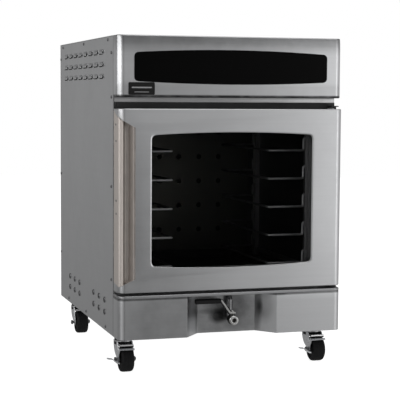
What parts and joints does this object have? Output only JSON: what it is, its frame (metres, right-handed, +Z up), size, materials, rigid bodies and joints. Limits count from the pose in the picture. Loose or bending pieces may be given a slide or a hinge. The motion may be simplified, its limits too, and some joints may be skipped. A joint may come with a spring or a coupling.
{
  "type": "food holding cabinet",
  "caption": "Half-height heated holding cabinet on swivel casters, with a glazed hinged door, wire pan supports, louvered sides and a front drain valve in a recessed base.",
  "frame": {"origin": "on the floor, in the middle of the cabinet's width and length", "axes": "+X to the right seen from the front, +Y to the back, +Z up; the door faces -Y"},
  "size_m": [0.7213, 0.91, 1],
  "materials": {
    "stainless_panel": "No. 4 brushed stainless",
    "stainless_inner": "mill finish stainless",
    "bright_wire": "bright electropolished wire",
    "zinc_steel": "zinc plated",
    "handle_metal": "satin champagne",
    "drain_metal": "nickel plated",
    "black_glass": "gloss black overlay",
    "door_glass": "tinted tempered glass",
    "gasket_rubber": "black silicone",
    "grip_vinyl": "dipped black vinyl",
    "badge_black": "blank black badge",
    "black_steel": "black coated steel",
    "black_plastic": "moulded nylon",
    "caster_rubber": "matte black",
    "circuit_board": "solder mask",
    "mineral_wool": "fibrous"
  },
  "bodies": {
    "cabinet": {"side_panel_left": "stainless_panel", "side_panel_right": "stainless_panel", "top_panel": "stainless_panel", "rear_panel": "stainless_panel", "rear_cover": "stainless_panel", "cord_gland": "black_plastic", "front_frame": "stainless_panel", "header_shell": "stainless_panel", "header_window": "black_glass", "badge_plate": "badge_black", "control_board": "circuit_board", "base_front_panel": "stainless_panel", "base_ledge": "stainless_panel", "base_pan": "zinc_steel", "cavity_liner": "stainless_inner", "rear_baffle": "stainless_inner", "rack_frame_left": "stainless_inner", "rack_frame_right": "stainless_inner", "rack_support_left_1": "bright_wire", "rack_support_left_2": "bright_wire", "rack_support_left_3": "bright_wire", "rack_support_left_4": "bright_wire", "rack_support_left_5": "bright_wire", "rack_support_right_1": "bright_wire", "rack_support_right_2": "bright_wire", "rack_support_right_3": "bright_wire", "rack_support_right_4": "bright_wire", "rack_support_right_5": "bright_wire", "water_pan": "stainless_inner", "water_heater": "zinc_steel", "air_heater": "zinc_steel", "fan_motor": "zinc_steel", "insulation_wrap": "mineral_wool", "drain_pipe": "drain_metal", "drain_valve_body": "drain_metal", "hinge_bracket_lower": "black_steel", "hinge_bracket_upper": "black_steel", "caster_plate_front_left": "zinc_steel", "caster_plate_front_right": "zinc_steel", "caster_plate_rear_left": "zinc_steel", "caster_plate_rear_right": "zinc_steel"},
    "door": {"door_skin": "stainless_panel", "door_inner_panel": "stainless_inner", "door_glass_outer": "door_glass", "door_glass_inner": "door_glass", "door_gasket": "gasket_rubber", "door_handle": "handle_metal"},
    "drain_handle": {"drain_lever": "zinc_steel", "drain_lever_grip": "grip_vinyl"},
    "fan_rotor": {"fan_wheel": "stainless_inner"},
    "caster_front_left": {"caster_fork_front_left": "zinc_steel"},
    "wheel_front_left": {"caster_wheel_front_left": "caster_rubber"},
    "brake_front_left": {"caster_brake_front_left": "zinc_steel"},
    "caster_front_right": {"caster_fork_front_right": "zinc_steel"},
    "wheel_front_right": {"caster_wheel_front_right": "caster_rubber"},
    "brake_front_right": {"caster_brake_front_right": "zinc_steel"},
    "caster_rear_left": {"caster_fork_rear_left": "zinc_steel"},
    "wheel_rear_left": {"caster_wheel_rear_left": "caster_rubber"},
    "caster_rear_right": {"caster_fork_rear_right": "zinc_steel"},
    "wheel_rear_right": {"caster_wheel_rear_right": "caster_rubber"}
  },
  "joints": [
    {"name": "door_hinge", "type": "hinge", "parent": "cabinet", "child": "door", "pos_m": [0.339, -0.412, 0.518], "axis": [0, 0, 1], "range_deg": [0, 120]},
    {"name": "drain_valve_turn", "type": "hinge", "parent": "cabinet", "child": "drain_handle", "pos_m": [0.006, -0.432, 0.173], "axis": [0, 0, 1], "range_deg": [0, 90]},
    {"name": "fan_spin", "type": "hinge", "parent": "cabinet", "child": "fan_rotor", "pos_m": [0, 0.3, 0.518], "axis": [0, 1, 0], "continuous": true},
    {"name": "swivel_front_left", "type": "hinge", "parent": "cabinet", "child": "caster_front_left", "pos_m": [-0.306, -0.328, 0.095], "axis": [0, 0, 1], "continuous": true},
    {"name": "roll_front_left", "type": "hinge", "parent": "caster_front_left", "child": "wheel_front_left", "pos_m": [-0.306, -0.363, 0.038], "axis": [1, 0, 0], "continuous": true},
    {"name": "brake_front_left", "type": "hinge", "parent": "caster_front_left", "child": "brake_front_left", "pos_m": [-0.306, -0.363, 0.038], "axis": [1, 0, 0], "range_deg": [0, 18]},
    {"name": "swivel_front_right", "type": "hinge", "parent": "cabinet", "child": "caster_front_right", "pos_m": [0.306, -0.328, 0.095], "axis": [0, 0, 1], "continuous": true},
    {"name": "roll_front_right", "type": "hinge", "parent": "caster_front_right", "child": "wheel_front_right", "pos_m": [0.306, -0.363, 0.038], "axis": [1, 0, 0], "continuous": true},
    {"name": "brake_front_right", "type": "hinge", "parent": "caster_front_right", "child": "brake_front_right", "pos_m": [0.306, -0.363, 0.038], "axis": [1, 0, 0], "range_deg": [0, 18]},
    {"name": "swivel_rear_left", "type": "hinge", "parent": "cabinet", "child": "caster_rear_left", "pos_m": [-0.306, 0.328, 0.095], "axis": [0, 0, 1], "continuous": true},
    {"name": "roll_rear_left", "type": "hinge", "parent": "caster_rear_left", "child": "wheel_rear_left", "pos_m": [-0.306, 0.293, 0.038], "axis": [1, 0, 0], "continuous": true},
    {"name": "swivel_rear_right", "type": "hinge", "parent": "cabinet", "child": "caster_rear_right", "pos_m": [0.306, 0.328, 0.095], "axis": [0, 0, 1], "continuous": true},
    {"name": "roll_rear_right", "type": "hinge", "parent": "caster_rear_right", "child": "wheel_rear_right", "pos_m": [0.306, 0.293, 0.038], "axis": [1, 0, 0], "continuous": true}
  ]
}
